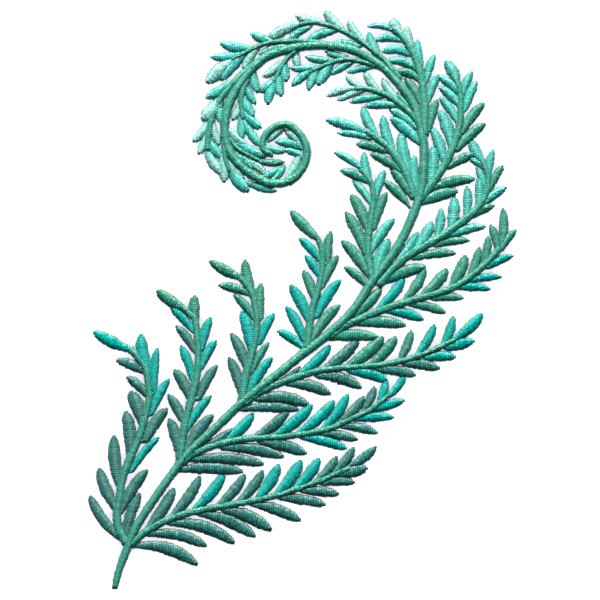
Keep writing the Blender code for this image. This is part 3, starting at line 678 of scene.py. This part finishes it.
# Spray right 3
# The third spray on the right, which leaves the main stem at a narrow angle.
spray_right_3 = {
    "width": (6, 4),
    "stem": [
        (245, 404), (260, 392), (280, 383), (300, 376), (320, 370.5), (340, 368), (370, 366), (390, 363.5),
        (410, 358.5), (430, 351.5), (450, 342), (456, 339)],
    "leaflets": [
        (272, 386, 299, 368, "S", 5), (299, 375, 329, 347, "T"), (324, 369, 357, 341, "G", 10),
        (348, 366, 382, 338, "S", 11), (373, 363, 395, 338, "S", 10), (400, 359, 411, 332, "S"),
        (418, 354, 434, 326, "T"), (443, 346, 453, 318, "T"), (456, 338, 481, 315, "T", 10),
        (240, 409.5, 297, 409.5, "G", 9, 4), (258, 399, 307, 404, "G", 11, 8),
        (288, 384, 329, 393.3, "G", 10, 7),
        (318, 376, 360, 387, "G", 10, 8), (350, 371, 386, 380, "T", 10), (375, 369, 414, 375, "G", 9, 4),
        (405, 364, 438, 368, "G", 9, 4), (427, 358, 454, 357, "T", 9), (447, 348, 473, 341, "T", 9, 0)],
}
worked("stitched_right_3", "spray_right_3", spray_columns(spray_right_3))

# Spray right 4
# The fourth spray on the right, sea green with a few turquoise leaflets.
spray_right_4 = {
    "width": (6.4, 5),
    "stem": [
        (330, 337), (345, 326), (360, 319), (380, 311), (400, 304), (420, 298), (440, 292.5), (460, 284),
        (480, 269), (495, 254), (500, 247)],
    "leaflets": [
        (350, 318, 380, 289, "S"), (378, 309, 403, 279, "T"), (405.5, 299, 424.5, 270, "S"),
        (423, 295.3, 446, 270.3, "S", 10), (452, 285, 465, 257, "S", 10), (470, 275, 479, 249, "S"),
        (483, 265, 488, 238, "S"), (498, 250, 491, 226, "S"), (501, 247, 503, 210, "S", 8),
        (501, 250, 515, 231, "S", 7), (323.5, 338.5, 377, 337.3, "S", 10), (350, 324, 404, 325, "S", 10),
        (387, 311, 422, 319, "T", 9), (409, 304.2, 444, 312.2, "S", 8), (433, 299, 462, 298, "S", 7),
        (455, 288, 489, 289, "T", 7.2), (469, 281, 500, 277, "T", 6.8), (488, 267, 512, 256, "T", 7)],
}
worked("stitched_right_4", "spray_right_4", spray_columns(spray_right_4))

# Spray right 5
# The fifth spray on the right, which bends upwards, aqua and sea green.
spray_right_5 = {
    "width": (7, 5.6),
    "stem": [
        (378.5, 285), (390, 272), (405, 258), (425, 246), (445, 234), (466, 219), (480, 205), (487.5, 188),
        (488, 174), (482, 161)],
    "leaflets": [
        (397, 261, 417, 234, "A"), (414, 252, 431, 223, "A", 10), (436, 239, 441, 210, "A"),
        (451, 228, 454, 198, "A", 10), (466, 216, 467, 188, "A", 8), (478, 206, 479, 178, "A"),
        (484, 184, 477, 169, "A", 6), (483, 167, 470, 159, "A", 6), (482, 161, 472, 141, "A", 9),
        (379.5, 284.5, 424, 267, "S"), (414, 258.3, 454, 253.3, "S", 8), (436, 245.3, 468, 240.5, "S", 7.2),
        (451, 235.2, 484, 226.5, "A", 8), (469, 218, 493, 206, "S", 7), (483, 205, 505, 188, "A"),
        (489, 191, 502, 167, "S"), (489, 175, 493, 151, "A", 7)],
}
worked("stitched_right_5", "spray_right_5", spray_columns(spray_right_5))

# Spray right 6
# The topmost spray on the right, upright, aqua on its left and sea green on its right.
spray_right_6 = {
    "width": (6.8, 5),
    "stem": [
        (420, 200), (432, 184), (444, 166), (453, 147), (459, 127), (461, 107), (460, 90), (455, 77)],
    "leaflets": [
        (430, 184, 433, 147.5, "A", 10), (444.5, 164, 432.5, 129, "A"), (451.5, 146, 440.5, 112, "A", 10),
        (457, 121, 441, 98.5, "A"), (459, 104.5, 440.5, 87.5, "A", 8.5), (459, 93, 440, 77, "A", 8),
        (456.5, 80, 446.5, 62, "A", 10), (420, 203.5, 456, 191.5, "S", 10.5), (433, 188, 473, 179, "S"),
        (449, 167, 475, 154, "S", 8), (458, 149, 484, 124.5, "S"), (463, 131.5, 483, 104, "S"),
        (465.5, 109, 476, 82.5, "A"), (463, 93, 471.5, 73, "A")],
}
worked("stitched_right_6", "spray_right_6", spray_columns(spray_right_6))


# Backing
# A square of non-woven stabiliser under the cloth, which keeps it from puckering further. It is cut
# by hand, a little smaller than the cloth, and the stitches go through both.
BACKING_SIDE = 0.104
BACKING_THICKNESS = 0.00025
BACKING_TOP = 0.00055
bpy.ops.object.select_all(action="DESELECT")
bpy.ops.mesh.primitive_grid_add(x_subdivisions=80, y_subdivisions=80, size=BACKING_SIDE)
backing = bpy.context.object
backing.name = "stabiliser"
backing.data.name = "stabiliser"
for vert in backing.data.vertices:
    x, y = vert.co.x, vert.co.y
    vert.co.z = BACKING_TOP + 0.00004 * math.sin(x * 240 + y * 130)
    if max(abs(x), abs(y)) > 0.49 * BACKING_SIDE:
        vert.co.x *= 1 - 0.006 * (0.5 + 0.5 * math.sin(y * 260))
        vert.co.y *= 1 - 0.006 * (0.5 + 0.5 * math.sin(x * 330))
body = backing.modifiers.new("thickness", "SOLIDIFY")
body.thickness = BACKING_THICKNESS
body.offset = -1
bpy.ops.object.modifier_apply(modifier="thickness")
for face in backing.data.polygons:
    face.use_smooth = True
fleece = bpy.data.materials.new("stabiliser_fleece")
fleece.use_nodes = True
nodes, links = fleece.node_tree.nodes, fleece.node_tree.links
felt = nodes["Principled BSDF"]
place = nodes.new("ShaderNodeTexCoord")
fibre = nodes.new("ShaderNodeTexNoise")
fibre.inputs["Scale"].default_value = 700
fibre.inputs["Detail"].default_value = 6
fibre.inputs["Distortion"].default_value = 3
links.new(place.outputs["Object"], fibre.inputs["Vector"])
tint = nodes.new("ShaderNodeMapRange")
tint.inputs["To Min"].default_value = 0.70
tint.inputs["To Max"].default_value = 0.86
links.new(fibre.outputs["Fac"], tint.inputs["Value"])
grey = nodes.new("ShaderNodeCombineColor")
for channel in ("Red", "Green", "Blue"):
    links.new(tint.outputs["Result"], grey.inputs[channel])
links.new(grey.outputs["Color"], felt.inputs["Base Color"])
relief = nodes.new("ShaderNodeBump")
relief.inputs["Strength"].default_value = 0.3
relief.inputs["Distance"].default_value = 0.0001
links.new(fibre.outputs["Fac"], relief.inputs["Height"])
links.new(relief.outputs["Normal"], felt.inputs["Normal"])
felt.inputs["Roughness"].default_value = 0.95
backing.data.materials.append(fleece)
backing.visible_diffuse = False
cloth_pieces.objects.link(backing)
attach(backing, "root")
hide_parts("backing")

# Ground cloth
# A square of plain white cotton, cut with shears, that lies on the backing and is held to it by the
# stitches. They pull it into small hollows along the frond, and the cut edge is a little uneven. Where
# stitches crowd round it, painted shade darkens it to a mauve grey.
CLOTH_SIDE = 0.112
CLOTH_THICKNESS = 0.0005
CLOTH_RISE = 0.00014        # how far the cloth swells up away from the stitches
HOLLOW = 0.00024            # how deep they pull it down beside them
HOLLOW_REACH = 0.0006       # and how far off that is felt
# The next two set the cloth's painted shade between crowded stitches.
CROWD_REACH = 0.0015        # stitches nearer than this close a place in
FEW, MANY = 2.5, 7          # how many of them it takes to begin, and how many more to be closed in
UNEVEN_EDGE = 0.98          # the cut edge is uneven from this share of the way out
bpy.ops.object.select_all(action="DESELECT")
bpy.ops.mesh.primitive_grid_add(x_subdivisions=190, y_subdivisions=190, size=CLOTH_SIDE)
cloth = bpy.context.object
cloth.name = "white_cloth"
cloth.data.name = "white_cloth"
every_stitch = np.concatenate(stitched_ground)
tree = KDTree(len(every_stitch))
for i, (x, y, half) in enumerate(every_stitch):
    tree.insert((x, y, 0), i)
tree.balance()
# Painted shade: how crowded with stitches each place of the cloth is sets how dark it is painted.
gap_shade_amount = []              # how far each place of the cloth lies between stitches
for vert in cloth.data.vertices:
    x, y = vert.co.x, vert.co.y
    place, i, away = tree.find((x, y, 0))
    off_edge = away - every_stitch[i][2]
    hollow = -HOLLOW * math.exp(-(max(off_edge, 0) / HOLLOW_REACH) ** 2)
    wave = 0.00004 * math.sin(x * 310 + 1.3 * math.sin(y * 190)) * math.sin(y * 270 + 0.7)
    vert.co.z = CLOTH_TOP + CLOTH_RISE + hollow + wave
    crowd = len(tree.find_range((x, y, 0), CROWD_REACH))
    gap_shade_amount.append(min(max((crowd - FEW) / MANY, 0), 1))
    edge = max(abs(x), abs(y)) / (CLOTH_SIDE / 2)
    if edge > UNEVEN_EDGE:
        pull = 1 - 0.004 * (0.5 + 0.5 * math.sin(x * 900 + y * 700)) * (edge - UNEVEN_EDGE) / 0.02
        vert.co.x, vert.co.y = x * pull, y * pull
between = cloth.data.attributes.new("between", "FLOAT", "POINT")
between.data.foreach_set("value", gap_shade_amount)
body = cloth.modifiers.new("thickness", "SOLIDIFY")
body.thickness = CLOTH_THICKNESS
body.offset = -1
bpy.ops.object.modifier_apply(modifier="thickness")
for face in cloth.data.polygons:
    face.use_smooth = True

weave = bpy.data.materials.new("white_cotton")
weave.use_nodes = True
nodes, links = weave.node_tree.nodes, weave.node_tree.links
cotton = nodes["Principled BSDF"]
place = nodes.new("ShaderNodeTexCoord")
warp = nodes.new("ShaderNodeTexWave")
warp.bands_direction = "X"
warp.inputs["Scale"].default_value = 600
warp.inputs["Distortion"].default_value = 0.8
links.new(place.outputs["Object"], warp.inputs["Vector"])
weft = nodes.new("ShaderNodeTexWave")
weft.bands_direction = "Y"
weft.inputs["Scale"].default_value = 600
weft.inputs["Distortion"].default_value = 0.8
links.new(place.outputs["Object"], weft.inputs["Vector"])
crossed = nodes.new("ShaderNodeMath")
crossed.operation = "MULTIPLY"
links.new(warp.outputs["Fac"], crossed.inputs[0])
links.new(weft.outputs["Fac"], crossed.inputs[1])
nap = nodes.new("ShaderNodeTexNoise")
nap.inputs["Scale"].default_value = 900
nap.inputs["Detail"].default_value = 4
links.new(place.outputs["Object"], nap.inputs["Vector"])
rough = nodes.new("ShaderNodeMath")
rough.operation = "ADD"
links.new(crossed.outputs["Value"], rough.inputs[0])
links.new(nap.outputs["Fac"], rough.inputs[1])
relief = nodes.new("ShaderNodeBump")
relief.inputs["Strength"].default_value = 0.15
relief.inputs["Distance"].default_value = 0.0001
links.new(rough.outputs["Value"], relief.inputs["Height"])
links.new(relief.outputs["Normal"], cotton.inputs["Normal"])
cream = nodes.new("ShaderNodeMapRange")
cream.inputs["To Min"].default_value = 0.88
cream.inputs["To Max"].default_value = 0.94
links.new(nap.outputs["Fac"], cream.inputs["Value"])
white = nodes.new("ShaderNodeCombineColor")
links.new(cream.outputs["Result"], white.inputs["Red"])
links.new(cream.outputs["Result"], white.inputs["Green"])
links.new(cream.outputs["Result"], white.inputs["Blue"])
# Painted shade between crowded stitches: the cloth's colour is mixed towards a mauve grey.
between = nodes.new("ShaderNodeAttribute")
between.attribute_name = "between"
shadow = nodes.new("ShaderNodeMix")     # its sockets for colours are inputs 6 and 7 and output 2
shadow.data_type = "RGBA"
shadow.inputs[7].default_value = (0.53, 0.51, 0.59, 1)
links.new(between.outputs["Fac"], shadow.inputs["Factor"])
links.new(white.outputs["Color"], shadow.inputs[6])
links.new(shadow.outputs[2], cotton.inputs["Base Color"])
cotton.inputs["Roughness"].default_value = 0.9
cotton.inputs["Sheen Weight"].default_value = 0.2
cloth.data.materials.append(weave)
cloth.visible_diffuse = False
cloth_pieces.objects.link(cloth)
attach(cloth, "root")
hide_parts("ground_cloth")

# Bobbin side
# Under the backing each column shows the needle thread drawn through at its two edges, and along its
# middle the white bobbin thread that holds it down.
BACKING_UNDER = 0.00034     # just inside the backing, so that the threads come out of it
BOBBIN_HEIGHT = 0.00015     # how far the threads stand out there
BOBBIN_FULLNESS = 0.92      # how wide a column is there, as a share of its width above
bobbin_columns = []
for one in worked_columns:
    count = len(one["half"])
    pulled_flat = {"half": BOBBIN_FULLNESS * one["half"], "height": np.full(count, BOBBIN_HEIGHT),
                   "lift": 0 * one["lift"], "middle": np.full(count, ORDER.index("B"))}
    bobbin_columns.append({**one, **pulled_flat})
bobbin_mesh = stitch_mesh("bobbin_side", bobbin_columns, one_stitch(6, 1), BACKING_UNDER, -1)
bobbin_side = bpy.data.objects.new("bobbin_side", bobbin_mesh)
bpy.context.scene.collection.objects.link(bobbin_side)
thread_pieces.objects.link(bobbin_side)
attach(bobbin_side, "root")
